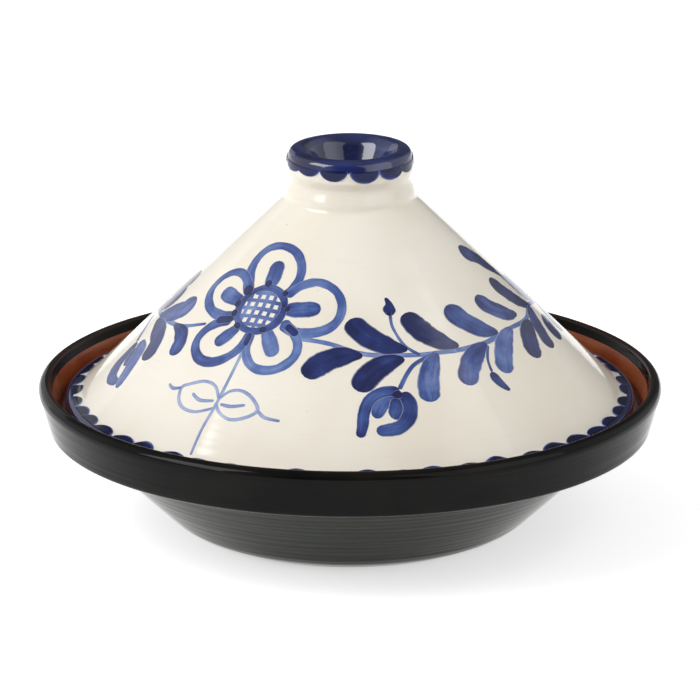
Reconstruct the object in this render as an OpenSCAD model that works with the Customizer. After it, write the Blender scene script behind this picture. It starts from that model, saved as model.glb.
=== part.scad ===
// Tagine pot: a wide earthenware dish with a gallery round its rim, and a
// conical lid that stands on the gallery. Both are turned about the Z axis.
// The origin is the centre of the foot, on the table.

/* [Dish] */
// Diameter of the dish over its glazed rim
rim_d = 300; // [250:1:360]
// Height of the rim above the table
rim_h = 72; // [60:0.5:87]
// Height of the upright wall round the rim, outside
band_h = 23.5; // [19.5:0.1:28.5]
// Lean of that wall out of the vertical, in degrees
band_lean = 16; // [13:0.5:20]
// Thickness of the upright wall
rim_wall = 6.5; // [5.4:0.1:8]
// Share of the rim's top that is rounded away outside
rim_round = 0.8; // [0.66:0.01:0.85]
// Width of the step outside, from the upright wall in to the bowl
step_w = 13.9; // [11.5:0.1:16.7]
// Thickness of the gallery that carries the lid
gallery_t = 7.5; // [6:0.1:9]
// Thickness of the bowl's side
bowl_wall = 7.5; // [6:0.1:9]
// Thickness of the bowl's floor
floor_t = 8; // [6.5:0.1:10]
// Diameter of the foot
foot_d = 144; // [120:1:173]
// Width of the ring that stands on the table
foot_ring_w = 10; // [8:0.5:12]
// Depth of the hollow inside that ring
foot_hollow = 1.5; // [1:0.1:2]
// How far the belly stands out from the foot
belly_w = 13.4; // [11.1:0.1:16.1]
// Height of the belly's turn above the table
belly_h = 6; // [5:0.1:7.2]

/* [Lid] */
// Height from the gallery to the top of the knob
lid_h = 131.3; // [109:0.1:158]
// Thickness of the cone's wall
lid_wall = 7.5; // [6:0.1:9]
// Clearance between the lid's edge and the dish's wall, all round
seat_gap = 3.4; // [2.8:0.1:4.1]
// Height of the lid's edge
edge_h = 8.7; // [7.2:0.1:10.5]
// Width of the flat lip between the edge and the cone
lip_w = 7.3; // [6:0.1:8.8]
// How far the cone's side bows out at half its height
cone_bow = 0.4; // [0:0.1:0.6]
// Diameter of the shoulder where the cone ends
shoulder_d = 63; // [60.5:0.1:67]
// Height from the cone's end to the top of the knob
knob_h = 24.5; // [20.4:0.1:29.4]
// Diameter of the waist under the collar
waist_d = 57.8; // [54:0.1:60]
// Diameter of the collar round the knob
collar_d = 60.5; // [57:0.1:64]
// Height of the collar
collar_h = 10.7; // [8.9:0.1:12.9]
// Diameter of the well in the knob
well_d = 39.2; // [34:0.1:42]
// Depth of the well
well_depth = 21; // [18:0.1:24]
// Thickness of the well's floor
well_floor = 6; // [5:0.1:7.2]

/* [Glaze] */
// Thickness of each glaze coat
glaze_t = 0.5; // [0.4:0.05:0.6]
// Clay left bare above the foot and above the lid's seat
bare_clay = 2.5; // [2:0.1:3]
// How far the black glaze runs down inside the rim
black_inside = 4.5; // [3.8:0.1:5.4]
// Width of the blue coat on the lid's lip
blue_lip_w = 3.5; // [2.9:0.1:4.2]
// How far the blue coat runs down the collar from the knob's top
blue_collar_h = 5.5; // [4.6:0.1:6.6]

/* [Hidden] */

// Steps round a turned piece, and along each rounded corner
ROUND_STEPS = 180;
CORNER_STEPS = 6;

// How far each rounded corner reaches along its two sides, in mm
rim_inner_reach = 0.9;
sharp_reach = 0.8;     // step and gallery edges
well_edge_reach = 1.6;
band_reach = 1.4;
cove_reach = 3;        // foot of the wall on the gallery
belly_reach = 4.2;
bowl_reach = 14;       // between the bowl's floor and its side
lip_reach = 1.5;
collar_reach = 0.6;
knob_round = 1.6;      // outer edge of the knob's top
crest_reach = 1.6;
well_reach = 7.4;      // between the well's side and its floor
crown_reach = 10;      // inside the lid, under the knob

// Small steps in the outlines, in mm
edge_slope = 2.2;      // the lid's edge draws in by this towards the seat
lip_rise = 1.6;        // the lip rises by this towards the cone
shoulder_in = 0.3;     // the neck draws in by this up to its shoulder
knob_draw_in = 1.1;    // the knob's side draws in by this towards its top
knob_edge_drop = 1;    // from the knob's crest down to its outer edge
crest_in = 6.2;        // from the collar's side in to the crest
well_taper = 8.5;      // the well is narrower by this at its floor
well_lip_drop = 3.2;   // from the knob's top down to the well's edge

// Places of the shoulder and the waist, as shares of the way up the neck
shoulder_part = 0.22;
waist_part = 0.66;

// ---- Vectors and outlines: [radius, height] pairs ----

function unit(v) = v / norm(v);
function left_of(v) = [-v[1], v[0]];
function turned(v, a) = [v[0] * cos(a) - v[1] * sin(a), v[0] * sin(a) + v[1] * cos(a)];
function turn_between(u, v) = atan2(u[0] * v[1] - u[1] * v[0], u * v);

// The point at height z on the line through p along v
function at_height(p, v, z) = p + v * ((z - p[1]) / v[1]);

// The corner b between a and c, as an arc that starts t before it
function corner(a, b, c, t) =
    let (u = unit(b - a), v = unit(c - b), turn = turn_between(u, v))
    (t == 0 || abs(turn) < 0.01) ? [b] :
    let (to_centre = left_of(u) * (t / tan(turn / 2)))
    [for (i = [0 : CORNER_STEPS])
        b - u * t + to_centre - turned(to_centre, turn * i / CORNER_STEPS)];

// An outline through [radius, height, reach] corners
function rounded(c) =
    let (n = len(c) - 1, p = [for (q = c) [q[0], q[1]]])
    [for (i = [0 : n])
        for (q = (i == 0 || i == n) ? [p[i]] : corner(p[i - 1], p[i], p[i + 1], c[i][2])) q];

// An outline moved d to its left, with mitred corners
function moved(p, d) =
    let (n = len(p) - 1)
    [for (i = [0 : n])
        let (u = left_of(unit(p[max(i, 1)] - p[max(i, 1) - 1])),
             v = left_of(unit(p[min(i, n - 1) + 1] - p[min(i, n - 1)])))
        p[i] + (u + v) * (d / (1 + u * v))];

function reversed(p) = [for (i = [len(p) - 1 : -1 : 0]) p[i]];

// ---- The dish, as clay ----

rim_r = rim_d / 2 - glaze_t;
foot_r = foot_d / 2;
clay_top = rim_h - glaze_t;
band_z = rim_h - band_h + glaze_t;           // underside of the gallery
gallery_z = band_z + gallery_t - 2 * glaze_t; // top of the gallery
seat_z = gallery_z + glaze_t;                // what the lid stands on

lean_dir = [sin(band_lean), cos(band_lean)];
rim_top_w = (rim_wall - 2 * glaze_t) / cos(band_lean);
rim_reach = rim_round * rim_top_w;
// The rim's arc touches rim_r, so its corner lies further out by this much
rim_flare = rim_reach * (1 - 1 / tan((90 + band_lean) / 2));
rim_corner = [rim_r + rim_flare, clay_top];
band_corner = at_height(rim_corner, lean_dir, band_z);
inner_wall = rim_corner - [rim_top_w, 0];
cove_corner = at_height(inner_wall, lean_dir, gallery_z);
black_end = at_height(inner_wall, lean_dir, clay_top - black_inside);

belly = [foot_r + belly_w, belly_h];
bowl_top = [band_corner[0] - step_w, band_z];
bowl_dir = unit(bowl_top - belly);
bowl_inner = belly + left_of(bowl_dir) * (bowl_wall - 2 * glaze_t);
gallery_edge = at_height(bowl_inner, bowl_dir, gallery_z);
floor_z = floor_t - 2 * glaze_t + foot_hollow;
floor_corner = at_height(bowl_inner, bowl_dir, floor_z);
foot_start = [foot_r, 0];
glaze_start = foot_start + unit(belly - foot_start) * bare_clay;

black_line = rounded([
    [glaze_start[0], glaze_start[1], 0],
    [belly[0], belly[1], belly_reach],
    [bowl_top[0], bowl_top[1], sharp_reach],
    [band_corner[0], band_corner[1], band_reach],
    [rim_corner[0], rim_corner[1], rim_reach],
    [inner_wall[0], inner_wall[1], rim_inner_reach],
    [black_end[0], black_end[1], 0]
]);
clear_line = rounded([
    [black_end[0], black_end[1], 0],
    [cove_corner[0], cove_corner[1], cove_reach],
    [gallery_edge[0], gallery_edge[1], sharp_reach],
    [floor_corner[0], floor_corner[1], bowl_reach],
    [0, floor_z, 0]
]);
foot_outline = [
    [0, foot_hollow],
    [foot_r - foot_ring_w - foot_hollow, foot_hollow],
    [foot_r - foot_ring_w, 0],
    foot_start
];

// ---- The lid, as clay ----

knob_top = seat_z + lid_h - glaze_t;
cone_end_z = seat_z + lid_h - knob_h;
edge_r = at_height(cove_corner, lean_dir, seat_z)[0] - seat_gap - glaze_t;

edge_low = [edge_r, seat_z + edge_h / 2];
edge_top = [edge_r, seat_z + edge_h - glaze_t];
edge_reach = 0.42 * (edge_top[1] - edge_low[1]);
lip_end = [edge_r - lip_w, edge_top[1] + lip_rise];
blue_end = edge_top + unit(lip_end - edge_top) * blue_lip_w;
cone_end = [shoulder_d / 2 - glaze_t, cone_end_z];
cone_chord = cone_end - lip_end;
cone_middle = lip_end + cone_chord / 2 - left_of(unit(cone_chord)) * (2 * cone_bow);
cone_reach = 0.47 * norm(cone_chord);
edge_start = [edge_r - edge_slope, seat_z];
edge_glaze_start = edge_start + unit(edge_low - edge_start) * (bare_clay / 2);

neck_h = knob_h - collar_h;
neck_reach = 0.1 * neck_h;
shoulder = [cone_end[0] - shoulder_in, cone_end_z + shoulder_part * neck_h];
waist = [waist_d / 2 - glaze_t, cone_end_z + waist_part * neck_h];
collar_low = [collar_d / 2 - glaze_t, cone_end_z + neck_h];
knob_edge = [collar_low[0] - knob_draw_in, knob_top - knob_edge_drop];
crest = [collar_low[0] - crest_in, knob_top];
well_edge = [well_d / 2 + glaze_t, knob_top - well_lip_drop];
well_low = [well_edge[0] - well_taper, knob_top - well_depth];
blue_start = [collar_low[0], knob_top + glaze_t - blue_collar_h];

edge_line = rounded([
    [edge_glaze_start[0], edge_glaze_start[1], 0],
    [edge_low[0], edge_low[1], edge_reach],
    [edge_top[0], edge_top[1], edge_reach],
    [blue_end[0], blue_end[1], 0]
]);
ivory_line = rounded([
    [blue_end[0], blue_end[1], 0],
    [lip_end[0], lip_end[1], lip_reach],
    [cone_middle[0], cone_middle[1], cone_reach],
    [cone_end[0], cone_end[1], neck_reach],
    [shoulder[0], shoulder[1], neck_reach],
    [waist[0], waist[1], neck_reach],
    [collar_low[0], collar_low[1], collar_reach],
    [blue_start[0], blue_start[1], 0]
]);
knob_line = rounded([
    [blue_start[0], blue_start[1], 0],
    [knob_edge[0], knob_edge[1], knob_round],
    [crest[0], crest[1], crest_reach],
    [well_edge[0], well_edge[1], well_edge_reach],
    [well_low[0], well_low[1], well_reach],
    [0, well_low[1], 0]
]);

// Inside the lid: parallel to the cone, closed by a crown under the well
crown_z = well_low[1] - well_floor;
cone_dir = unit(cone_chord);
cone_inner = lip_end + left_of(cone_dir) * (lid_wall - 2 * glaze_t);
seat_inner = at_height(cone_inner, cone_dir, seat_z);
crown_corner = at_height(cone_inner, cone_dir, crown_z);
inner_glaze_start = at_height(cone_inner, cone_dir, seat_z + bare_clay / 2);
inner_line = rounded([
    [inner_glaze_start[0], inner_glaze_start[1], 0],
    [crown_corner[0], crown_corner[1], crown_reach],
    [0, crown_z, 0]
]);

// ---- Sub-parts ----

// A solid turned about Z from a closed outline
module turned_piece(outline) {
    rotate_extrude($fn = ROUND_STEPS) polygon(outline);
}

// A coat of glaze on the clay line p, with the clay on its left, or on its
// right where side is -1
module coat(p, side = 1) {
    turned_piece(concat(p, reversed(moved(p, -side * glaze_t))));
}

module dish_clay() {
    color("sienna") turned_piece(concat(foot_outline, black_line, clear_line));
}

module dish_black_glaze() {
    color([0.1, 0.1, 0.1]) coat(black_line);
}

module dish_clear_glaze() {
    color([0.55, 0.25, 0.14]) coat(clear_line);
}

module lid_clay() {
    color("sienna")
        turned_piece(concat([seat_inner, edge_start], edge_line, ivory_line, knob_line,
                            reversed(inner_line)));
}

module lid_ivory_glaze() {
    color([0.93, 0.9, 0.83]) coat(ivory_line);
}

module lid_edge_blue_glaze() {
    color([0.1, 0.12, 0.4]) coat(edge_line);
}

module lid_knob_blue_glaze() {
    color([0.1, 0.12, 0.4]) coat(knob_line);
}

module lid_clear_glaze() {
    color([0.55, 0.25, 0.14]) coat(inner_line, -1);
}

dish_clay();
dish_black_glaze();
dish_clear_glaze();
lid_clay();
lid_ivory_glaze();
lid_edge_blue_glaze();
lid_knob_blue_glaze();
lid_clear_glaze();
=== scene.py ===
import math

import bpy
import numpy as np
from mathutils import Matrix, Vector


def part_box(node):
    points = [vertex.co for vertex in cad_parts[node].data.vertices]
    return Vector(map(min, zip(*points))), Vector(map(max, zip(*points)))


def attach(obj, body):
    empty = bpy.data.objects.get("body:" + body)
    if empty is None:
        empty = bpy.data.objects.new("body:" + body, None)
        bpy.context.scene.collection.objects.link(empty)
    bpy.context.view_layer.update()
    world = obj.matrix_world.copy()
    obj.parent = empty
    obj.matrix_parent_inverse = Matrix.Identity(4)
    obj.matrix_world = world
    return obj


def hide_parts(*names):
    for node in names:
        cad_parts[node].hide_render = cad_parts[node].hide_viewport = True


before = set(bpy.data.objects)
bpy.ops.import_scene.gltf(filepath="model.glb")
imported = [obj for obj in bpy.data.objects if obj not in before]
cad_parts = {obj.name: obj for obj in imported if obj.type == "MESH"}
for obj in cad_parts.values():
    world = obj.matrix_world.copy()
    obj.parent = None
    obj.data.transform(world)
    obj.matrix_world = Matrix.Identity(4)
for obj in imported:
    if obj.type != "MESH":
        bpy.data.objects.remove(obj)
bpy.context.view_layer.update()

# ---- The dish's clay ----
# One thrown piece of red earthenware: foot, bowl, gallery and rim wall together.
# It is glazed all over but for the ring it stands on, wiped clean before firing.


def feed(socket, value):
    """Wires a socket to another node's output, or sets it to a plain value."""
    if isinstance(value, bpy.types.NodeSocket):
        socket.id_data.links.new(value, socket)
    else:
        socket.default_value = value


def add(tree, kind, inputs=None, **settings):
    """Puts a node in a tree, sets what it is told and feeds the inputs it is given."""
    node = tree.nodes.new(kind)
    for name, value in settings.items():
        setattr(node, name, value)
    for socket, value in (inputs or {}).items():
        feed(node.inputs[socket], value)
    return node


def fed_by(values, kind, inputs, **settings):
    """Adds a node to the tree that these values come from."""
    tree = next(value.id_data for value in values if isinstance(value, bpy.types.NodeSocket))
    return add(tree, kind, inputs, **settings)


def calc(operation, *values):
    return fed_by(values, "ShaderNodeMath", dict(enumerate(values)), operation=operation).outputs[0]


def plus(first, second):
    return calc("ADD", first, second)


def times(first, second):
    return calc("MULTIPLY", first, second)


def per(first, second):
    return calc("DIVIDE", first, second)


def vector(*sides):
    return fed_by(sides, "ShaderNodeCombineXYZ", dict(enumerate(sides))).outputs[0]


def parts(place):
    """A vector's x, y and z."""
    return add(place.id_data, "ShaderNodeSeparateXYZ", {0: place}).outputs


def vector_calc(operation, first, second=(0.0, 0.0, 0.0)):
    """Works on whole vectors. SCALE takes a number second; two operations give a number."""
    other = "Scale" if operation == "SCALE" else 1
    node = fed_by((first, second), "ShaderNodeVectorMath", {0: first, other: second}, operation=operation)
    return node.outputs["Value" if operation in ("DOT_PRODUCT", "DISTANCE") else "Vector"]


def spread(value, low, high, to_low=0.0, to_high=1.0):
    """Eases a value from one range into another, and holds it at the ends."""
    ranges = {"Value": value, "From Min": low, "From Max": high, "To Min": to_low, "To Max": to_high}
    node = add(value.id_data, "ShaderNodeMapRange", ranges, interpolation_type="SMOOTHSTEP")
    return node.outputs["Result"]


def noise(place, scale, detail=2.0, fourth=None, roughness=0.5):
    """Soft noise from 0 to 1, with a fourth direction to move in where one is given."""
    inputs = {"Vector": place, "Scale": scale, "Detail": detail, "Roughness": roughness}
    if fourth is not None:
        inputs["W"] = fourth
    ways = "3D" if fourth is None else "4D"
    return add(place.id_data, "ShaderNodeTexNoise", inputs, noise_dimensions=ways).outputs["Fac"]


def tint(part, first, second):
    """Mixes two colours, the second in proportion to part."""
    first, second = ((*colour, 1.0) if isinstance(colour, tuple) else colour for colour in (first, second))
    return add(part.id_data, "ShaderNodeMix", {0: part, 6: first, 7: second}, data_type="RGBA").outputs[2]


def group_tree(name, kind, sockets, results):
    """A node group with named inputs and results, and the sockets at its two ends."""
    tree = bpy.data.node_groups.new(name, kind)
    for in_out, kinds in (("INPUT", sockets), ("OUTPUT", results)):
        for label, value_kind in kinds.items():
            tree.interface.new_socket(label, in_out=in_out, socket_type="NodeSocket" + value_kind)
    return tree, add(tree, "NodeGroupInput").outputs, add(tree, "NodeGroupOutput").inputs


# What the wheel and the kiln leave in a surface: rings from the fingers, finer drag
# lines, clouds of uneven thickness and small specks
tree, given, result = group_tree(
    "wheel marks", "ShaderNodeTree",
    {"Position": "Vector", "Ring Pitch": "Float", "Wander": "Float", "Cloud Size": "Float",
     "Speck Size": "Float", "Speck Share": "Float", "Seed": "Float"},
    {"Rings": "Float", "Drag Lines": "Float", "Clouds": "Float", "Specks": "Float"})
above_nothing = 1e-8         # square metres, so that nothing is divided by nothing on the axis
drag_pitch = 0.16            # a drag line's pitch as a share of a finger ring's
cell_share = 0.28            # a speck's size as a share of the cell it lies in
smallest, largest = 0.05, 0.16   # a speck's reach in its cell
core = 0.55                  # how far out a speck stays solid
x, y, z = parts(given["Position"])
out = calc("SQRT", plus(times(x, x), plus(times(y, y), above_nothing)))
east = times(per(x, out), given["Wander"])
north = times(per(y, out), given["Wander"])
for name, finer, detail in (("Rings", 1.0, 2.0), ("Drag Lines", drag_pitch, 4.0)):
    pitch = times(given["Ring Pitch"], finer)
    where = vector(per(out, pitch), per(z, pitch), plus(per(east, finer), given["Seed"]))
    feed(result[name], noise(where, 1.0, detail, fourth=per(north, finer)))
shifted = vector_calc("ADD", given["Position"], vector(given["Seed"], 0.0, given["Seed"]))
feed(result["Clouds"], noise(shifted, per(1.0, given["Cloud Size"]), 3.0))
cells = add(tree, "ShaderNodeTexVoronoi",
            {"Vector": shifted, "Scale": per(cell_share, given["Speck Size"])}, feature="F1")
lot = add(tree, "ShaderNodeSeparateColor", {0: cells.outputs["Color"]}).outputs
chosen = calc("LESS_THAN", lot[0], given["Speck Share"])
size = spread(lot[1], 0.0, 1.0, smallest, largest)
speck = spread(cells.outputs["Distance"], times(size, core), size, 1.0, 0.0)
feed(result["Specks"], times(chosen, speck))
wheel_marks = tree


def on_piece(tree):
    """Where a point lies on its piece."""
    return add(tree, "ShaderNodeTexCoord").outputs["Object"]


def finish(name, **marks):
    """A new material: its tree, its shader, and the wheel marks placed in it."""
    material = bpy.data.materials.new(name)
    material.use_nodes = True
    tree = material.node_tree
    node = add(tree, "ShaderNodeGroup", node_tree=wheel_marks)
    feed(node.inputs["Position"], on_piece(tree))
    for label, value in marks.items():
        feed(node.inputs[label.replace("_", " ").title()], value)
    return material, tree, tree.nodes["Principled BSDF"], node.outputs


def fired(shader, colour, roughness, height, depth, specular=0.5):
    """Gives a shader its colour and roughness, and a relief depth metres deep."""
    bump = add(shader.id_data, "ShaderNodeBump", {"Strength": 1.0, "Distance": depth, "Height": height})
    for name, value in (("Base Color", colour), ("Roughness", roughness),
                        ("Normal", bump.outputs["Normal"]), ("IOR", 1.5),
                        ("Specular IOR Level", specular)):
        feed(shader.inputs[name], value)


fired_red, fired_pale = (0.30, 0.105, 0.048), (0.40, 0.165, 0.083)
dragged_slip, grog = (0.22, 0.075, 0.035), (0.55, 0.34, 0.2)

earthenware, tree, shader, marks = finish(
    "red earthenware", ring_pitch=0.0032, wander=0.8, cloud_size=0.03, speck_size=0.0012,
    speck_share=0.35, seed=1.7)
body = tint(spread(marks["Clouds"], 0.3, 0.7), fired_red, fired_pale)
body = tint(spread(marks["Drag Lines"], 0.45, 0.8, 0.0, 0.35), body, dragged_slip)
fired(shader, colour=tint(times(marks["Specks"], 0.5), body, grog),
      roughness=spread(marks["Drag Lines"], 0.3, 0.7, 0.72, 0.92),
      height=plus(marks["Drag Lines"], marks["Specks"]), depth=0.00012)


def give(node, material):
    """Puts a material in every slot of a CAD node."""
    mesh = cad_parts[node].data
    for number in range(len(mesh.materials)):
        mesh.materials[number] = material


give("dish_clay", earthenware)

# ---- The dish's black coat ----
# Black glaze poured over the outside, up over the rim and a little way down inside.
# The thrower's rings ripple under it, and on sharp edges it runs thin and brown.


def outline_of(node):
    """A CAD node's cut face, as (radius, height) corners in order round its edge."""
    off_the_cut, behind_the_axis, on_the_axis = 2e-6, -1e-7, 1e-6
    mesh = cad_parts[node].data
    corner = {v.index: (round(v.co.x, 6), round(v.co.z, 6)) for v in mesh.vertices
              if abs(v.co.y) < off_the_cut and v.co.x > behind_the_axis}
    beside = {}
    for edge in mesh.edges:
        a, b = (corner.get(i) for i in edge.vertices)
        if a and b and a != b:
            beside.setdefault(a, set()).add(b)
            beside.setdefault(b, set()).add(a)
    ends = [p for p in beside if len(beside[p]) == 1]
    line = [min(ends or beside)]
    while len(line) == 1 or line[-1] != line[0]:
        onward = sorted(p for p in beside[line[-1]] if p not in line[-2:-1])
        if not onward:
            break
        line.append(onward[0])
    if ends:
        # a flat face has no edge of its own that runs in to the axis
        line = [(0.0, line[0][1])] + [p for p in line if p[0] > on_the_axis] + [(0.0, line[-1][1])]
    line = np.array(line)
    turn = np.sum(line[:-1, 0] * line[1:, 1] - line[1:, 0] * line[:-1, 1])
    return line if turn > 0 else line[::-1]


def distance_to(line, points):
    """How far each point is from the nearest side of an outline."""
    a, side = line[:-1], np.diff(line, axis=0)
    share = np.clip(((points[:, None] - a) * side).sum(2) / (side ** 2).sum(1), 0, 1)
    return np.linalg.norm(points[:, None] - (a + side * share[..., None]), axis=2).min(1)


def coat_line(node, clay, pitch):
    """A coat's outline with close-set points: where each is, which way is out of the
    glaze, whether it is on the open face, and how sharply the face bends there."""
    clear_of_clay = 1e-5     # further from the clay than this is open face
    hidden_pitch = 3 * pitch
    blur = 0.0009            # a bend is felt about this far to either side
    full_bend = 0.0016       # the radius of a rounding that counts as a full bend
    line = outline_of(node)
    open_face = distance_to(outline_of(clay), line) > clear_of_clay
    points, skin = [line[0]], [float(open_face[0])]
    for i in range(len(line) - 1):
        step = pitch if open_face[i] or open_face[i + 1] else hidden_pitch
        cuts = max(1, math.ceil(np.linalg.norm(line[i + 1] - line[i]) / step))
        if open_face[i] != open_face[i + 1]:
            cuts = 1
        for cut in range(1, cuts + 1):
            points.append(line[i] + (line[i + 1] - line[i]) * cut / cuts)
            skin.append(float(open_face[i + 1]))
    points, skin = np.array(points), np.array(skin)
    way = np.diff(points, axis=0)
    length = np.linalg.norm(way, axis=1)
    normal = np.stack([way[:, 1], -way[:, 0]], 1) / length[:, None]
    face = skin[1:] == skin[:-1]
    run = np.concatenate([[0], np.cumsum(length)])
    closed = np.allclose(points[0], points[-1])
    outward = np.zeros_like(points)
    turn = np.zeros(len(points))
    for i in range(len(points)):
        before, after = i - 1, i
        if closed and i in (0, len(points) - 1):
            before, after = len(way) - 1, 0
        sides = [j for j in (before, after) if 0 <= j < len(way) and face[j]]
        mean = normal[sides].sum(0)
        outward[i] = mean / np.linalg.norm(mean)
        if len(sides) == 2 and skin[i]:
            u, v = normal[before], normal[after]
            turn[i] = math.atan2(u[0] * v[1] - u[1] * v[0], u @ v)
    near = np.exp(-0.5 * ((run[:, None] - run[None]) / blur) ** 2) / (blur * math.sqrt(2 * math.pi))
    bend = np.clip(near @ turn * full_bend, -1, 1) * skin
    mesh = bpy.data.meshes.new(node + "_line")
    mesh.from_pydata([(p[0], 0, p[1]) for p in points], [], [])
    for name, values in (("skin", skin), ("bend", bend)):
        mesh.attributes.new(name, "FLOAT", "POINT").data.foreach_set("value", values)
    flat = np.stack([outward[:, 0], np.zeros(len(points)), outward[:, 1]], 1)
    mesh.attributes.new("outward", "FLOAT_VECTOR", "POINT").data.foreach_set("vector", flat.ravel())
    return mesh


def minus(first, second):
    return calc("SUBTRACT", first, second)


def named(tree, name, kind="FLOAT"):
    """A value that the geometry keeps under a name."""
    return add(tree, "GeometryNodeInputNamedAttribute", {"Name": name}, data_type=kind).outputs["Attribute"]


def keep(geometry, name, value, kind="FLOAT", domain="POINT"):
    """Stores a value on the geometry under a name."""
    inputs = {"Geometry": geometry, "Name": name, "Value": value}
    return add(geometry.id_data, "GeometryNodeStoreNamedAttribute", inputs,
               data_type=kind, domain=domain).outputs[0]


def placed_at(geometry, place):
    """The geometry with each of its points moved to a place."""
    inputs = {"Geometry": geometry, "Position": place}
    return add(geometry.id_data, "GeometryNodeSetPosition", inputs).outputs[0]


def closed_up(geometry, nearer_than):
    """Joins points that lie nearer together than this, at seams and poles."""
    inputs = {"Geometry": geometry, "Distance": nearer_than}
    return add(geometry.id_data, "GeometryNodeMergeByDistance", inputs).outputs[0]


def smoothed(geometry, material):
    """The tree's end: smooth faces, crisp edges, instances made real, one material."""
    crisp = math.radians(40)
    tree = geometry.id_data
    bent = add(tree, "GeometryNodeInputMeshEdgeAngle").outputs[0]
    faces = add(tree, "GeometryNodeSetShadeSmooth", {"Geometry": geometry}, domain="FACE")
    edges = add(tree, "GeometryNodeSetShadeSmooth",
                {"Geometry": faces.outputs[0], "Selection": calc("GREATER_THAN", bent, crisp),
                 "Shade Smooth": False}, domain="EDGE")
    real = add(tree, "GeometryNodeRealizeInstances", {0: edges.outputs[0]}).outputs[0]
    return add(tree, "GeometryNodeSetMaterial", {"Geometry": real, "Material": material}).outputs[0]


thrown, given, result = group_tree(
    "thrown on the wheel", "GeometryNodeTree",
    {"Line": "Geometry", "Steps Round": "Int", "Ring Pitch": "Float", "Ring Depth": "Float",
     "Sway Depth": "Float", "Seed": "Float", "Material": "Material"},
    {"Piece": "Geometry"})
rows = add(thrown, "GeometryNodeAttributeDomainSize", {0: given["Line"]}).outputs["Point Count"]
grid = add(thrown, "GeometryNodeMeshGrid",
           {"Vertices X": plus(given["Steps Round"], 1.0), "Vertices Y": rows})
number = add(thrown, "GeometryNodeInputIndex").outputs[0]
column = calc("FLOOR", per(plus(number, 0.5), rows))
row = minus(number, times(column, rows))


def from_line(value, kind="FLOAT"):
    """What the outline holds at this point's row."""
    return add(thrown, "GeometryNodeSampleIndex", {"Geometry": given["Line"], "Value": value, "Index": row},
               data_type=kind, domain="POINT").outputs[0]


out, _, up = parts(from_line(add(thrown, "GeometryNodeInputPosition").outputs[0], "FLOAT_VECTOR"))
away_out, _, away_up = parts(from_line(named(thrown, "outward", "FLOAT_VECTOR"), "FLOAT_VECTOR"))
angle = times(per(column, given["Steps Round"]), 2 * math.pi)
cosine, sine = calc("COSINE", angle), calc("SINE", angle)
# Round the axis itself the marks are the same on every side, so the surface closes there
closing_radius = 0.03
ring_drift = 0.35        # how much a ring changes on its way round
lobes, sway_rate = 1.6, 14.0   # how often it sways out of true: on its way round, and up and out
seam_gap = 4e-6          # metres: the seam and the poles close over less than this
clear_of_axis = spread(out, 0.0, closing_radius)
east, north = times(cosine, clear_of_axis), times(sine, clear_of_axis)
pitch = given["Ring Pitch"]
ring = noise(vector(per(out, pitch), per(up, pitch), times(east, ring_drift)), 1.0, 1.0,
             fourth=plus(times(north, ring_drift), given["Seed"]))
sway = noise(vector(times(east, lobes), times(north, lobes), times(up, sway_rate)), 1.0, 1.0,
             fourth=plus(times(out, sway_rate), given["Seed"]))
sunk = plus(times(ring, given["Ring Depth"]), times(sway, given["Sway Depth"]))
sunk = times(sunk, from_line(named(thrown, "skin")))
out = calc("MAXIMUM", minus(out, times(away_out, sunk)), 0.0)
up = minus(up, times(away_up, sunk))
wrapped = keep(grid.outputs[0], "UVMap", grid.outputs["UV Map"], "FLOAT2", "CORNER")
wrapped = keep(wrapped, "bend", from_line(named(thrown, "bend")))
wrapped = placed_at(wrapped, vector(times(out, cosine), times(out, sine), up))
feed(result["Piece"], smoothed(closed_up(wrapped, seam_gap), given["Material"]))


def made(name, tree, mesh, **settings):
    """Runs a tree on a mesh and gives back the plain mesh piece."""
    piece = bpy.data.objects.new(name, mesh)
    bpy.context.scene.collection.objects.link(piece)
    modifier = piece.modifiers.new("making", "NODES")
    modifier.node_group = tree
    for item in tree.interface.items_tree:
        label = item.name.lower().replace(" ", "_")
        if item.in_out == "INPUT" and label in settings:
            modifier[item.identifier] = settings[label]
    graph = bpy.context.evaluated_depsgraph_get()
    plain = bpy.data.meshes.new_from_object(
        piece.evaluated_get(graph), preserve_all_data_layers=True, depsgraph=graph)
    piece.modifiers.remove(modifier)
    piece.data = plain
    plain.name = name
    plain.materials.clear()
    plain.materials.append(settings["material"])
    plain.polygons.foreach_set("material_index", [0] * len(plain.polygons))
    return piece


def held(tree, name):
    """An attribute of the piece's own, as a number the material can use."""
    return add(tree, "ShaderNodeAttribute", attribute_name=name).outputs["Fac"]


jet, soft_black, clouded = (0.0013, 0.0014, 0.0014), (0.0038, 0.0040, 0.0037), (0.0070, 0.0068, 0.0056)
olive_black_and_painted_reflection, thin_brown = (0.0190, 0.0235, 0.0130), (0.038, 0.015, 0.008)
bowl_share = 0.62        # the bowl's olive tone, partly the glaze's own and partly painted reflection of the white table, ends this far up the coat, just under the band
bowl_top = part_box("dish_black_glaze")[1][2] * bowl_share
fade = 0.002             # half the height over which it ends

black, tree, shader, marks = finish(
    "black glaze", ring_pitch=0.0028, wander=1.1, cloud_size=0.045, speck_size=0.0006,
    speck_share=0.12, seed=4.1)
thin = spread(plus(held(tree, "bend"), times(marks["Clouds"], 0.5)), 0.62, 1.35)
coat = tint(spread(marks["Drag Lines"], 0.35, 0.75), jet, soft_black)
coat = tint(spread(marks["Clouds"], 0.42, 0.72, 0.0, 0.7), coat, clouded)
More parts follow.
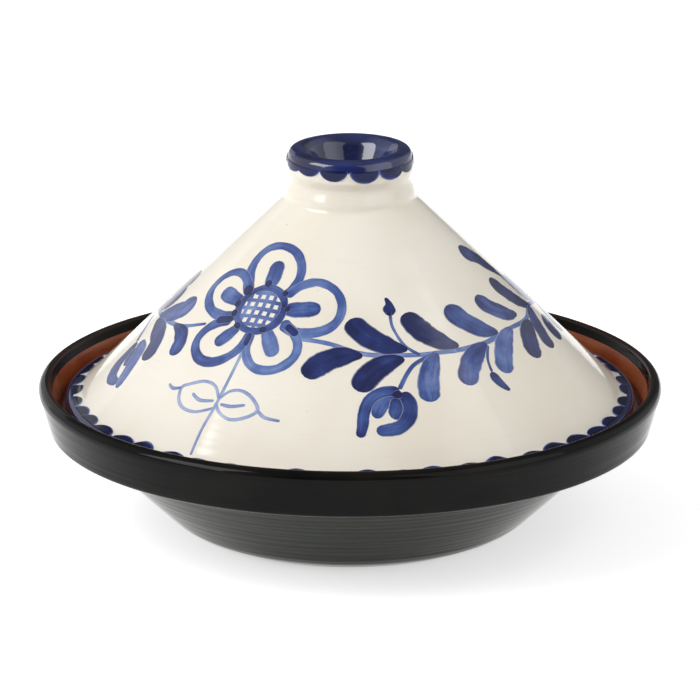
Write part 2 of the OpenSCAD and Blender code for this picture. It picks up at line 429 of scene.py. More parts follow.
# Below the band the black turns olive: partly the glaze's own tone, partly a painted reflection of the
# white table
bowl_olive_and_reflection = spread(parts(on_piece(tree))[2], bowl_top + fade, bowl_top - fade, 0.0, 0.75)
coat = tint(bowl_olive_and_reflection, coat, olive_black_and_painted_reflection)
streaks = spread(marks["Drag Lines"], 0.4, 0.8, 0.035, 0.10)
rings = plus(marks["Rings"], times(marks["Drag Lines"], 0.10))
fired(shader, colour=tint(thin, coat, thin_brown),
      roughness=plus(streaks, times(marks["Specks"], 0.2)),
      height=plus(rings, times(marks["Clouds"], 1.6)), depth=0.00022, specular=0.10)

black_coat = made("black_coat", thrown, coat_line("dish_black_glaze", "dish_clay", pitch=0.0012),
                  steps_round=300, ring_pitch=0.0048, ring_depth=0.00007, sway_depth=0.00012, seed=2.0,
                  material=black)
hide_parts("dish_black_glaze")
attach(black_coat, "dish")

# ---- The dish's clear coat ----
# Clear glaze over the bare red clay inside: wall, gallery and bowl. It deepens the
# clay's colour, runs darker where it pools and paler on the gallery's edge.

wet_red, wet_orange, wet_drag = (0.300, 0.060, 0.0145), (0.410, 0.099, 0.027), (0.185, 0.036, 0.011)
pooled_brown, thin_buff, iron_speck = (0.100, 0.021, 0.008), (0.380, 0.140, 0.060), (0.10, 0.035, 0.018)

clear, tree, shader, marks = finish(
    "clear glaze on red clay", ring_pitch=0.005, wander=1.0, cloud_size=0.03, speck_size=0.0009,
    speck_share=0.2, seed=7.3)
pooled = spread(held(tree, "bend"), 0.0, -0.6)
clay = tint(spread(marks["Clouds"], 0.3, 0.72), wet_red, wet_orange)
clay = tint(spread(marks["Drag Lines"], 0.45, 0.8, 0.0, 0.5), clay, wet_drag)
clay = tint(times(pooled, 0.6), clay, pooled_brown)
clay = tint(spread(held(tree, "bend"), 0.15, 0.9, 0.0, 0.5), clay, thin_buff)
fired(shader, colour=tint(marks["Specks"], clay, iron_speck),
      roughness=spread(marks["Clouds"], 0.3, 0.7, 0.13, 0.26),
      height=plus(marks["Rings"], times(marks["Drag Lines"], 0.15)), depth=0.00020)

clear_coat = made("clear_coat", thrown, coat_line("dish_clear_glaze", "dish_clay", pitch=0.0016),
                  steps_round=256, ring_pitch=0.0065, ring_depth=0.00009, sway_depth=0.00012, seed=2.0,
                  material=clear)
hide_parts("dish_clear_glaze")
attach(clear_coat, "dish")

# ---- The lid's clay ----
# One thrown piece: edge, lip, cone, neck and knob. Only the foot of its edge is bare,
# where it stands on the gallery.

give("lid_clay", earthenware)

# ---- The lid's ivory coat ----
# A creamy white glaze over the cone and neck, brushed and poured over the red clay.
# Faint finger rings show through it, with a warm tone where it runs thin.

cream, deep_cream, warm = (0.785, 0.742, 0.660), (0.742, 0.688, 0.586), (0.66, 0.57, 0.44)
clay_showing, ochre, brown_speck = (0.64, 0.48, 0.35), (0.70, 0.58, 0.20), (0.30, 0.20, 0.12)
smudge_at = (0.003, -0.0297, 0.1758)    # a touch of ochre just under the knob's scallops
smudge_reach, smudge_core = 0.0075, 0.0035

ivory, tree, shader, marks = finish(
    "ivory glaze", ring_pitch=0.009, wander=0.7, cloud_size=0.06, speck_size=0.0007,
    speck_share=0.03, seed=12.9)
coat = tint(spread(marks["Clouds"], 0.32, 0.70), cream, deep_cream)
coat = tint(spread(marks["Drag Lines"], 0.52, 0.85, 0.0, 0.22), coat, warm)
coat = tint(spread(held(tree, "bend"), 0.10, 0.9, 0.0, 0.40), coat, clay_showing)
coat = tint(spread(held(tree, "bend"), -0.08, -0.6, 0.0, 0.22), coat, warm)
smudge = vector_calc("DISTANCE", on_piece(tree), smudge_at)
smudge = plus(smudge, times(marks["Clouds"], 0.008))
coat = tint(spread(smudge, smudge_reach, smudge_core, 0.0, 0.35), coat, ochre)
rings = plus(marks["Rings"], times(marks["Drag Lines"], 0.05))
fired(shader, colour=tint(times(marks["Specks"], 0.55), coat, brown_speck),
      roughness=spread(marks["Clouds"], 0.3, 0.7, 0.06, 0.11),
      height=minus(rings, times(marks["Specks"], 0.4)), depth=0.00012)

ivory_coat = made("ivory_coat", thrown, coat_line("lid_ivory_glaze", "lid_clay", pitch=0.0013),
                  steps_round=384, ring_pitch=0.010, ring_depth=0.00008, sway_depth=0.00010, seed=6.0,
                  material=ivory)
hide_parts("lid_ivory_glaze")
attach(ivory_coat, "lid")

# ---- The lid's blue coats and clear coat ----
# Cobalt brushed round the lid's edge and over the knob while the lid turned on a
# bench wheel, and the same clear glaze as the dish's inside the lid.

night_blue, deep_blue = (0.0036, 0.0062, 0.040), (0.0085, 0.0165, 0.105)
dragged_blue, ringed_blue = (0.016, 0.033, 0.160), (0.026, 0.052, 0.240)
edge_blue = (0.040, 0.050, 0.130)

cobalt, tree, shader, marks = finish(
    "cobalt glaze", ring_pitch=0.0045, wander=1.6, cloud_size=0.012, speck_size=0.0006,
    speck_share=0.06, seed=21.4)
deep = tint(spread(marks["Clouds"], 0.3, 0.7), night_blue, deep_blue)
deep = tint(spread(marks["Drag Lines"], 0.50, 0.85, 0.0, 0.55), deep, dragged_blue)
deep = tint(spread(marks["Rings"], 0.60, 0.80, 0.0, 0.55), deep, ringed_blue)
deep = tint(spread(held(tree, "bend"), 0.55, 1.0, 0.0, 0.35), deep, edge_blue)
fired(shader, colour=deep, roughness=spread(marks["Drag Lines"], 0.3, 0.8, 0.05, 0.10),
      height=plus(marks["Rings"], times(marks["Drag Lines"], 0.2)), depth=0.00014, specular=0.7)

for name, node, slot, material, pitch, steps in (
        ("edge_blue_coat", "lid_edge_blue_glaze", "blue_glaze", cobalt, 0.0007, 384),
        ("knob_blue_coat", "lid_knob_blue_glaze", "blue_glaze", cobalt, 0.0009, 192),
        ("inner_clear_coat", "lid_clear_glaze", "clear_glaze", clear, 0.0020, 224)):
    coat = made(name, thrown, coat_line(node, "lid_clay", pitch), steps_round=steps,
                ring_pitch=0.010, ring_depth=0.00008, sway_depth=0.00010, seed=6.0, material=material)
    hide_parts(node)
    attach(coat, "lid")

# ---- The painted garland ----
# Cobalt brushwork on the ivory: two flowers on opposite sides, with leafy garlands,
# tulips and buds between them. Each mark is one stroke of a loaded round brush.

apex = 195.3                 # height of the point the cone's side aims at, in mm
root_two = math.sqrt(2)      # the side rises as fast as it draws in
stem_height = 105            # where the garland's stem runs, in mm up the lid
strokes = []


def spot_on_lid(azimuth, height, mirror=1):
    """Turns (x, y) in mm round a spot of the cone into the cone opened out flat."""
    turn = math.radians(azimuth) / root_two
    slant = (apex - height) * root_two
    across, uphill = (math.cos(turn), math.sin(turn)), (-math.sin(turn), math.cos(turn))

    def flat(x, y):
        x = x * mirror
        return (slant * math.sin(turn) + x * across[0] + y * uphill[0],
                -slant * math.cos(turn) + x * across[1] + y * uphill[1])
    return flat


def stroke(flat, path, width, tone, layer):
    """One brush stroke: width in mm at each point, tone 0 for dark to 1 for a wash."""
    widths = width if isinstance(width, (list, tuple)) else [width] * len(path)
    if len(widths) != len(path):
        known = np.linspace(0, 1, len(widths))
        widths = np.interp(np.linspace(0, 1, len(path)), known, widths)
    strokes.append(([flat(*p) for p in path], list(widths), tone, layer))


def dot(flat, x, y, wide, tone, layer):
    """The brush's tip set down once: a round spot."""
    stroke(flat, [(x - wide / 2, y), (x, y), (x + wide / 2, y)], wide, tone, layer)


def comma(flat, path, width, tone, layer):
    """A loaded brush set down: fine where it leaves the stem, full and round at its far end."""
    stroke(flat, path, [width * w for w in (0.22, 0.55, 0.82, 0.95, 1.0, 1.0, 1.0, 0.98)], tone, layer)


def leaf(flat, base, tip, width, tone, layer, turn=70):
    """A comma that bends evenly from base to tip, by turn degrees in all."""
    base, tip = np.array(base, float), np.array(tip, float)
    chord = tip - base
    half = math.radians(turn) / 2
    side = np.array([-chord[1], chord[0]])
    path = []
    for part in np.linspace(0, 1, 8):
        swing = (2 * part - 1) * half
        along = 0.5 + 0.5 * math.sin(swing) / math.sin(half)
        rise = 0.5 * (math.cos(swing) - math.cos(half)) / math.sin(half)
        path.append(tuple(base + chord * along + side * rise))
    comma(flat, path, width, tone, layer)


def flower(azimuth, height):
    """Five looped petals with a dash in each, a barred centre, a stalk and a bow of two leaves."""
    at = spot_on_lid(azimuth, height)
    petals = (
        ([(-11, 7), (-15, 13), (-18, 22), (-17, 29), (-12.5, 34), (-5, 35.6), (3, 33.5), (8.6, 28),
          (11, 21), (10, 14), (7, 10)], (6.2, 6.4, 5.6, 4.8, 4.6, 4.4, 4.6, 4.6, 4.8, 5, 5), 0.48),
        ([(9, 10), (13.5, 17), (21, 21.6), (30, 20.5), (36, 15), (38, 7.5), (35.5, 0.5), (29, -4.5),
          (21, -6.6), (13, -4)], (5, 4.8, 4.6, 4.4, 4.4, 4.6, 5, 5.4, 5.6, 5.6), 0.60),
        ([(13, -3), (21, -7), (26, -13), (26.4, -20), (21.5, -27), (13.5, -29.8), (6.5, -27.6), (1.6, -21),
          (0.5, -12)], (5.2, 5, 4.6, 4.8, 5, 5, 4.8, 4.6, 4.6), 0.60),
        ([(-0.5, -12), (-2, -21), (-7, -27.5), (-14, -31), (-22, -30), (-28, -24.5), (-29.2, -18),
          (-24.5, -11.5), (-14, -7)], (4.8, 4.8, 5, 5.6, 5.6, 5.2, 5, 5.6, 6), 0.44),
        ([(-12, -5), (-21, -5.8), (-30, -3), (-36.4, 3), (-38.6, 10), (-35, 16.4), (-27.5, 19.4),
          (-20, 17.4), (-13, 11)], (6, 5.8, 5.2, 5, 4.8, 4.6, 4.4, 4.8, 5.4), 0.50))
    for number, (path, widths, tone) in enumerate(petals):
        stroke(at, path, widths, tone, 2 + number)
    for path, width, tone in (([(-2.6, 12), (-2.4, 18), (-3.8, 27.5)], (5.4, 8.4, 7.6), 0.50),
                              ([(10.5, 3.5), (18, 5), (28, 9)], (5.4, 8.6, 7.6), 0.46),
                              ([(6.5, -8.5), (11.5, -14.5), (17, -21.5)], (4.6, 8.0, 7.4), 0.62),
                              ([(-8, -10), (-12.5, -16), (-17, -21.5)], (4.6, 7.4, 7.0), 0.52),
                              ([(-13, 3), (-21, 5), (-29, 8.6)], (6, 8.2, 7.6), 0.48)):
        stroke(at, path, width, tone, 7)
    heart, first_bar, bar_gap = 11.6, -8.2, 4.35    # its round centre, crossed by five bars each way
    for number in range(5):
        off = first_bar + bar_gap * number
        reach = math.sqrt(max(0, heart ** 2 - off ** 2))
        stroke(at, [(off - 1, -reach + 0.5), (off - 0.6, 0.5), (off - 1.2, reach + 0.5)], 1.9, 0.58, 8)
        stroke(at, [(-reach - 1, off - 0.6), (-1, off + 0.4), (reach - 1, off + 0.6)], 2.0, 0.60, 9)
    ring = [(-1 + 12.3 * math.cos(a), 0.6 + 12.0 * math.sin(a))
            for a in np.linspace(0.3, 2 * math.pi + 0.5, 22)]
    stroke(at, ring, (3.4, 4.2, 3.2, 4.4, 3.4, 3.8, 4.4, 3.2), 0.36, 10)
    for x, y, long, lean, width in (
            (-13, 9.6, 6, 118, 6.0), (-3.4, 14.6, 4, 95, 4.6), (7.8, 11.4, 3, 60, 4.2),
            (12.6, 4, 3.2, 80, 3.6), (-15.2, 1.8, 4, 95, 4.4), (-18.5, -7.6, 10, 190, 4.6),
            (-9.4, -9.8, 4.4, 150, 3.6), (5.4, -9.4, 4, 20, 3.4), (0, -16, 7, 92, 3.4),
            (19.5, -6, 8, -24, 4.0), (-14.6, -3.4, 4, 120, 4)):
        dx, dy = long / 2 * math.cos(math.radians(lean)), long / 2 * math.sin(math.radians(lean))
        stroke(at, [(x - dx, y - dy), (x, y), (x + dx, y + dy)], width, 0.17, 11)
    stroke(at, [(0, -12), (0.4, -28), (0, -51), (-1.2, -66), (-0.6, -80)],
           (1.9, 1.7, 1.7, 1.6, 1.3), 0.84, 1)
    bow_drop = 36
    bow = spot_on_lid(azimuth, height - bow_drop)
    for path in ([(0, 2), (-5, 8), (-12, 9.5), (-20, 7), (-24, 4.5), (-22, -2), (-17, -6), (-10, -7),
                  (-4, -5), (0, -3)],
                 [(0, 2), (4, 7), (10, 8.5), (17, 6), (22, 1), (18, -4), (11, -7), (4, -5), (0, -1)],
                 [(-24, 4.5), (-29, 3.7), (-33, 6)], [(22, 1), (27, -1.5), (35, -1)],
                 [(-16, 2.5), (-10, -0.5), (-2, 0.5)], [(2, -0.5), (8, -0.5), (15, 2)]):
        stroke(bow, path, (1.5, 1.8, 1.9, 1.7, 1.4), 0.85, 2)


def spray_on_the_right(azimuth):
    """Leaves, a tulip and a bud on the flower's right, before the garland runs on."""
    at = spot_on_lid(azimuth, stem_height)
    stroke(at, [(-56, 27), (-52, 26), (-40, 19), (-30, 11.5), (-20, 7.4), (0, 4.2), (20, 5)],
           (1.6, 2.2, 2.4, 2.6, 2.4, 2.4, 2.2), 0.72, 1)
    leaf(at, (-5, 8), (-27.5, 29), 12, 0.10, 3, turn=66)
    leaf(at, (-27, 8.5), (-56, 6), 12, 0.12, 4, turn=-58)
    leaf(at, (-8, 3), (-34, -9), 12, 0.06, 4, turn=-58)
    leaf(at, (9, 4), (-1.5, -21), 11, 0.46, 4, turn=-46)
    stroke(at, [(8, 4), (-5, -1), (-15, -12)], (2.2, 2, 2.2), 0.5, 2)
    for path, width, tone, layer in (
            ([(-15, -13), (-23, -12), (-30, -14.5), (-34.5, -20.5), (-37, -27), (-39.8, -32.5)],
             5.8, 0.30, 7),
            ([(-14.5, -14), (-12.2, -20), (-14.5, -27), (-21, -31.6), (-31.5, -31.2)], 7.2, 0.34, 8),
            ([(-18, -15), (-25, -18), (-30, -24.5)], 7.5, 0.42, 5),
            ([(-16, -16), (-18.6, -22), (-21.5, -27)], 8.5, 0.40, 6)):
        stroke(at, path, [width * w for w in (0.85, 1.0, 1.0, 1.0, 0.95, 0.8)], tone, layer)
    dot(at, -16.6, -14.6, 4.8, 0.02, 10)
    stroke(at, [(0, 4), (-6, 10), (-9, 20), (-8.4, 27)], (1.8, 1.6, 1.5, 1.7), 0.56, 2)
    stroke(at, [(-8.8, 26.5), (-8, 30), (-7.4, 33), (-8.2, 36.5)], (4.6, 6.4, 3.6, 1.6), 0.30, 5)
    stroke(at, [(-9, 27), (-8.4, 29)], 3.8, 0.04, 6)


def spray_on_the_left(azimuth):
    """The same on its left, where the brush was set down in its own places."""
    at = spot_on_lid(azimuth, stem_height)
    stroke(at, [(21, 13), (9, 6), (-2, 3), (-20, 2), (-40, 4)], (1.6, 2.2, 2.6, 2.4, 2.2), 0.68, 1)
    comma(at, [(-1, 3), (8, 2.5), (14, -1), (18, -9)], 9, 0.34, 3)
    comma(at, [(-25, 0), (-15, -3), (-5, -8), (1, -19.5)], 11, 0.16, 4)
    comma(at, [(-27, 2.5), (-16, 6), (-7, 10), (-1, 19)], 13, 0.38, 3)
    comma(at, [(-44, 5), (-36, 8), (-29, 12), (-26, 21)], 12, 0.08, 4)
    stroke(at, [(-40, 0), (-33, -6), (-25, -15)], 2.2, 0.45, 2)
    for path, tone, layer in (([(-18, -16), (-15, -22), (-14, -28)], 0.46, 5),
                              ([(-23, -15), (-23, -22), (-22, -30), (-15, -36), (-6, -36)], 0.34, 6),
                              ([(-20, -14), (-12, -17), (-8, -25), (-5, -32), (-2, -38)], 0.52, 7)):
        stroke(at, path, [9 * w for w in (0.6, 0.9, 1.0, 0.8, 0.45)], tone, layer)
    dot(at, -23.5, -17, 4.4, 0.02, 10)


def garland(azimuth, mirror):
    """Where both sides run on alike, seen as if the garland left to the right."""
    def further(degrees, height):
        return spot_on_lid(azimuth + mirror * degrees, height, mirror)
    near = further(57, stem_height)
    start = (6, -1) if mirror < 0 else (6, 4.3)      # where each side's own spray leaves the stem
    stroke(near, [start, (20, 5), (37, 9), (57, 19)], (2.2, 2.3, 2.2, 2), 0.72, 1)
    leaf(near, (21.5, 7.5), (-1, 27), 12, 0.04, 3, turn=66)
    leaf(near, (47.5, 16.5), (21.5, 29.5), 12, 0.32, 3, turn=66)
    leaf(near, (37.5, 9), (19.5, -14), 11, 0.36, 4, turn=-48)
    leaf(near, (58, 20), (43, -7.5), 10.5, 0.55, 4, turn=-46)
    stroke(near, [(38, 8), (35, 0), (35, -7)], (1.6, 1.5, 1.6), 0.56, 2)
    stroke(near, [(34.6, -7), (36, -10.6), (38.6, -14), (42, -17)], (3.8, 5.4, 4.4, 1.8), 0.30, 5)
    far = further(103, 110)
    stroke(far, [(-50, 7), (-32, 1), (-10, -1), (0, -2), (10, -2), (20, 1), (28, 3), (46, 3), (64, 6)],
           (2, 2.3, 2.3, 2.1, 1.9), 0.62, 1)
    leaf(far, (5, 3), (-15, 21), 10.5, 0.30, 3, turn=64)
    leaf(far, (28, 3), (8, 24), 11.5, 0.02, 3, turn=64)
    leaf(far, (46, 4), (30, 22), 11, 0.20, 3, turn=64)
    leaf(far, (61, 6), (44, 24), 10.5, 0.30, 3, turn=64)
    stroke(far, [(33, 5), (29, 14), (25, 22)], (1.5, 1.8, 2.2), 0.66, 2)
    comma(far, [(30, 20), (20, 30), (12, 38), (3, 42)], 11, 0.10, 5)
    leaf(far, (12, -4), (-10, -20), 12, 0.02, 4, turn=-54)
    leaf(far, (27, 2), (10, -21), 10.5, 0.22, 4, turn=-54)
    leaf(far, (38, -6), (27, -20), 12, 0.08, 4, turn=-54)
    leaf(far, (60, 4), (45, -17), 10.5, 0.28, 4, turn=-54)


for azimuth in (-35, 145):
    flower(azimuth, 123)
spray_on_the_right(22)
spray_on_the_left(-70)
for mirror in (1, -1):
    garland(-35, mirror)

brushed, given, result = group_tree(
    "brushed on the lid", "GeometryNodeTree",
    {"Paths": "Geometry", "Step": "Float", "Apex Height": "Float", "Layer Step": "Float",
     "Surface": "Object", "Material": "Material"},
    {"Paint": "Geometry"})
curve = add(brushed, "GeometryNodeMeshToCurve", {"Mesh": given["Paths"]}).outputs[0]
curve = add(brushed, "GeometryNodeCurveSplineType", {"Curve": curve}, spline_type="CATMULL_ROM").outputs[0]
curve = add(brushed, "GeometryNodeResampleCurve", {"Curve": curve, "Length": given["Step"]}, mode="LENGTH")
level = add(brushed, "GeometryNodeSetCurveNormal", {"Curve": curve.outputs[0]}).outputs[0]
done = add(brushed, "GeometryNodeSplineParameter").outputs["Length"]
whole = add(brushed, "GeometryNodeSplineLength").outputs["Length"]
lines = keep(keep(level, "along", done), "whole", whole)
width = named(brushed, "width")


def rounded_end(distance):
    """A brush's round end: full width half a width in, nothing at the very end."""
    share = calc("MINIMUM", per(distance, times(width, 0.5)), 1.0)
    left = minus(1.0, share)
    return calc("SQRT", minus(1.0, times(left, left)))


shivers = 170.0          # how often a stroke's width wavers in each metre
ends = times(rounded_end(done), rounded_end(minus(whole, done)))
waver = noise(vector(times(done, shivers), named(brushed, "seed"), 0.0), 1.0)
waver = spread(waver, 0.25, 0.75, 0.93, 1.07)
half = times(times(times(width, 0.5), ends), waver)
# A stroke's section is a closed loop: points over the top, close-set at its sides,
# then one point at each side of the underside
top_points = 7
order = add(brushed, "GeometryNodeInputIndex").outputs[0]
over = calc("LESS_THAN", order, top_points - 0.5)
from_middle = minus(order, (top_points - 1) / 2)
bowed = calc("SINE", times(from_middle, math.pi / (top_points - 1)))
under = minus(2.0 * top_points + 1, times(order, 2.0))
side = plus(times(over, bowed), times(minus(1.0, over), under))
hoop = add(brushed, "GeometryNodeCurvePrimitiveCircle", {"Resolution": top_points + 2}).outputs[0]
section = placed_at(keep(keep(hoop, "across", side), "top", over),
                    vector(named(brushed, "across"), 0.0, 0.0))
ribbon = add(brushed, "GeometryNodeCurveToMesh", {"Curve": lines, "Profile Curve": section, "Scale": half})


def opened_cone(position, apex_height):
    """Where a point of the opened-out cone lies on the real one, and its normal."""
    fx, fy, _ = parts(position)
    slant = calc("SQRT", plus(times(fx, fx), times(fy, fy)))
    turn = times(calc("ARCTAN2", fx, times(fy, -1.0)), root_two)
    out = per(slant, root_two)
    east, north = calc("SINE", turn), times(calc("COSINE", turn), -1.0)
    spot = vector(times(out, east), times(out, north), minus(apex_height, out))
    return spot, vector_calc("SCALE", vector(east, north, 1.0), 1 / root_two)


def laid_on(geometry, spot, normal, surfaces, lift, beside=()):
    """Drops each point along its normal onto the glazed surfaces, lift above them.

    Where two coats meet there is a fine seam, so the highest of the spots beside
    the point counts too.
    """
    start_height, reach = 0.012, 0.03
    tree = geometry.id_data
    ground = add(tree, "GeometryNodeJoinGeometry")
    for surface in surfaces:
        info = add(tree, "GeometryNodeObjectInfo", {"Object": surface}, transform_space="ORIGINAL")
        feed(ground.inputs[0], info.outputs["Geometry"])
    level = None
    for shift in (None, *beside):
        start = spot if shift is None else vector_calc("ADD", spot, shift)
        above = vector_calc("ADD", start, vector_calc("SCALE", normal, start_height))
        down = vector_calc("SCALE", normal, -1.0)
        ray = add(tree, "GeometryNodeRaycast", {"Target Geometry": ground.outputs[0], "Ray Length": reach,
                                                "Source Position": above, "Ray Direction": down})
        climb = vector_calc("SUBTRACT", ray.outputs["Hit Position"], start)
        rise = vector_calc("DOT_PRODUCT", climb, normal)
        level = rise if level is None else calc("MAXIMUM", level, rise)
    to_top = vector_calc("SCALE", normal, plus(level, lift))
    return placed_at(geometry, vector_calc("ADD", spot, to_top))


# Each stroke's seed lifts its top and sinks its underside a little, so no two lie in one plane
top_height, underside_depth = 0.00003, 0.00006     # above and below the ivory, in metres
own_lift, own_sinking = 4e-8, 2e-7
end_gap = 5e-8           # metres: a stroke's ends close over less than this
seed = named(brushed, "seed")
opened_out = add(brushed, "GeometryNodeInputPosition").outputs[0]
spot, normal = opened_cone(opened_out, given["Apex Height"])
raised = plus(top_height, times(named(brushed, "layer"), given["Layer Step"]))
raised = plus(raised, times(seed, own_lift))
sunk = plus(underside_depth, times(seed, own_sinking))
lift = minus(times(named(brushed, "top"), plus(raised, sunk)), sunk)
paint = laid_on(ribbon.outputs[0], spot, normal, [given["Surface"]], lift)
feed(result["Paint"], smoothed(closed_up(paint, end_gap), given["Material"]))

# Brushed cobalt: thin in the middle of a stroke, pooled at its edges, streaked along it
# by the hairs, and bled into the ivory at its very edge
washes = ((0.0, (0.0085, 0.0130, 0.072)), (0.22, (0.015, 0.027, 0.130)), (0.45, (0.042, 0.078, 0.255)),
          (0.72, (0.125, 0.190, 0.410)), (1.0, (0.340, 0.400, 0.570)))   # from thick to thinned out
bled_blue = (0.40, 0.42, 0.50)
hairs_along, hairs_across = 42.0, 1.7

brushwork, tree, shader, marks = finish(
    "brushed cobalt", ring_pitch=0.009, wander=0.7, cloud_size=0.012, speck_size=0.0007,
    speck_share=0.03, seed=12.9)
across, along, whole, seed = (held(tree, name) for name in ("across", "along", "whole", "seed"))
off_centre = calc("ABSOLUTE", across)
hairs = vector(times(along, hairs_along), times(across, hairs_across), seed)
hairs = noise(hairs, 1.0, 4.0, roughness=0.62)
rim = spread(off_centre, 0.55, 0.90)
start = spread(along, 0.006, 0.0, 0.0, 1.0)
end = spread(minus(whole, along), 0.007, 0.0, 0.0, 1.0)
wash = plus(held(tree, "tone"), spread(hairs, 0.28, 0.74, -0.08, 0.12))
wash = plus(wash, spread(marks["Clouds"], 0.3, 0.7, -0.10, 0.14))
wash = minus(wash, times(rim, 0.07))
wash = minus(wash, plus(times(start, 0.14), times(end, 0.10)))
ramp = add(tree, "ShaderNodeValToRGB", {0: wash})
stops = ramp.color_ramp.elements
stops.remove(stops[1])
for number, (position, colour) in enumerate(washes):
    stop = stops.new(position) if number else stops[0]
    stop.position, stop.color = position, (*colour, 1)
bled = spread(off_centre, 0.86, 1.0, 0.0, 0.62)
fired(shader, colour=tint(bled, ramp.outputs[0], bled_blue),
      roughness=spread(hairs, 0.3, 0.7, 0.06, 0.12),
      height=plus(marks["Rings"], times(hairs, 0.12)), depth=0.00012)

seed_step = 1.37         # keeps each stroke's wavering its own
points, edges, widths, tones, layers, seeds = [], [], [], [], [], []
for number, (path, stroke_widths, tone, layer) in enumerate(strokes):
    first = len(points)
    points += [(px / 1000, py / 1000, 0) for px, py in path]
    edges += [(i, i + 1) for i in range(first, len(points) - 1)]
    widths += [w / 1000 for w in stroke_widths]
    tones += [tone] * len(path)
    layers += [layer] * len(path)
    seeds += [number * seed_step] * len(path)
mesh = bpy.data.meshes.new("garland_paths")
mesh.from_pydata(points, edges, [])
for name, values in (("width", widths), ("tone", tones), ("layer", layers), ("seed", seeds)):
    mesh.attributes.new(name, "FLOAT", "POINT").data.foreach_set("value", values)
garland_paint = made("painted_garland", brushed, mesh, step=0.0005, apex_height=apex / 1000,
                     layer_step=0.000012, surface=ivory_coat, material=brushwork)
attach(garland_paint, "lid")

# ---- The dabs round the lip and the scallops round the knob ----
# A row of short dabs of the same cobalt where the blue edge meets the ivory, and
# larger ones round the collar, each set down by hand and none quite like the next.


def dab_mesh():
    """Half a round dab, one unit wide and deep, with a top and an underside."""
    wide, deep = 12, 8
    points, faces, across, top = [], [], [], []
    for layer in (1, 0):
        for j in range(deep + 1):
            for i in range(wide + 1):
                u, v = -1 + 2 * i / wide, j / deep
                px, py = u * math.sqrt(1 - v * v / 2), v * math.sqrt(1 - u * u / 2)
                points.append((px / 2, py, 0))
                across.append(min(1, math.hypot(px, py)))
                top.append(layer)
    row, lower = wide + 1, (wide + 1) * (deep + 1)
    for j in range(deep):
        for i in range(wide):
            a = j * row + i
            faces.append((a, a + 1, a + row + 1, a + row))
            faces.append((lower + a, lower + a + row, lower + a + row + 1, lower + a + 1))
    rim = (list(range(wide)) + [j * row + wide for j in range(deep)]
           + [deep * row + i for i in range(wide, 0, -1)] + [j * row for j in range(deep, 0, -1)])
    for a, b in zip(rim, rim[1:] + rim[:1]):
        faces.append((b, a, lower + a, lower + b))
    mesh = bpy.data.meshes.new("dab")
    mesh.from_pydata(points, [], faces)
    for name, values in (("across", across), ("top", top)):
        mesh.attributes.new(name, "FLOAT", "POINT").data.foreach_set("value", values)
    return mesh


dabbed, given, result = group_tree(
    "dabbed round", "GeometryNodeTree",
    {"Dab": "Geometry", "Count": "Int", "Start": "Float", "Radius": "Float", "Height": "Float",
     "Width": "Float", "Depth": "Float", "Upright": "Float", "Uneven": "Float", "Tone": "Float",
     "Seed": "Int", "Surface": "Object", "Second Surface": "Object", "Material": "Material"},
    {"Dabs": "Geometry"})


def chance(low, high, salt):
    """An even spread between two values, fixed by the seed."""
    inputs = {2: low, 3: high, "Seed": plus(given["Seed"], float(salt))}
    return add(dabbed, "FunctionNodeRandomValue", inputs, data_type="FLOAT").outputs[1]


slip = 0.0004            # how far a scallop is set too high or too low
thick, rooted = 0.00018, 0.00008   # a dab's thickness, and how much of it is sunk in the coat
seam_reach = 0.00018     # each point also looks this far to either side, for a seam
row_of = add(dabbed, "GeometryNodeMeshLine", {"Count": given["Count"]}, mode="OFFSET").outputs[0]
share = per(add(dabbed, "GeometryNodeInputIndex").outputs[0], given["Count"])
nudge = per(times(chance(-0.5, 0.5, 1), given["Uneven"]), given["Count"])
angle = plus(times(plus(share, nudge), 2 * math.pi), given["Start"])
marked = keep(row_of, "angle", angle)
marked = keep(marked, "tone", plus(given["Tone"], chance(-0.08, 0.10, 3)))
angle = named(dabbed, "angle")
height = plus(given["Height"], times(chance(-slip, slip, 6), given["Upright"]))
set_out = placed_at(marked, vector(times(given["Radius"], calc("COSINE", angle)),
                                   times(given["Radius"], calc("SINE", angle)), height))
tilt = times(given["Upright"], -math.pi / 2)
facing = plus(angle, minus(math.pi / 2, times(given["Upright"], math.pi)))
turn = add(dabbed, "FunctionNodeEulerToRotation", {0: vector(tilt, 0.0, facing)}).outputs[0]
size = vector(times(given["Width"], chance(0.90, 1.10, 4)),
              times(given["Depth"], chance(0.78, 1.20, 5)), 1.0)
placed = add(dabbed, "GeometryNodeInstanceOnPoints",
             {"Points": set_out, "Instance": given["Dab"], "Rotation": turn, "Scale": size}).outputs[0]
real = add(dabbed, "GeometryNodeRealizeInstances", {0: placed}).outputs[0]
spot = add(dabbed, "GeometryNodeInputPosition").outputs[0]
radial = vector_calc("NORMALIZE", vector_calc("MULTIPLY", spot, (1.0, 1.0, 0.0)))
level = vector_calc("SCALE", (0.0, 0.0, 1.0), minus(1.0, given["Upright"]))
normal = vector_calc("ADD", vector_calc("SCALE", radial, given["Upright"]), level)
lift = minus(times(named(dabbed, "top"), thick), rooted)
seam = vector_calc("SCALE", vector_calc("ADD", radial, (0.0, 0.0, 1.0)), seam_reach)
dabs = laid_on(real, spot, normal, [given["Surface"], given["Second Surface"]], lift,
               (seam, vector_calc("SCALE", seam, -1.0)))
feed(result["Dabs"], smoothed(dabs, given["Material"]))

# A dab is one touch of the brush: nearly black where the cobalt lies thick, with a
# thin line of clear blue round it where it thins, then bled into the ivory
thick_dark, thick_light = (0.0024, 0.0034, 0.014), (0.0040, 0.0068, 0.044)
clear_dark, clear_light = (0.0046, 0.0070, 0.034), (0.0095, 0.0180, 0.110)
thinned_blue, bled_grey = (0.022, 0.042, 0.210), (0.34, 0.37, 0.48)

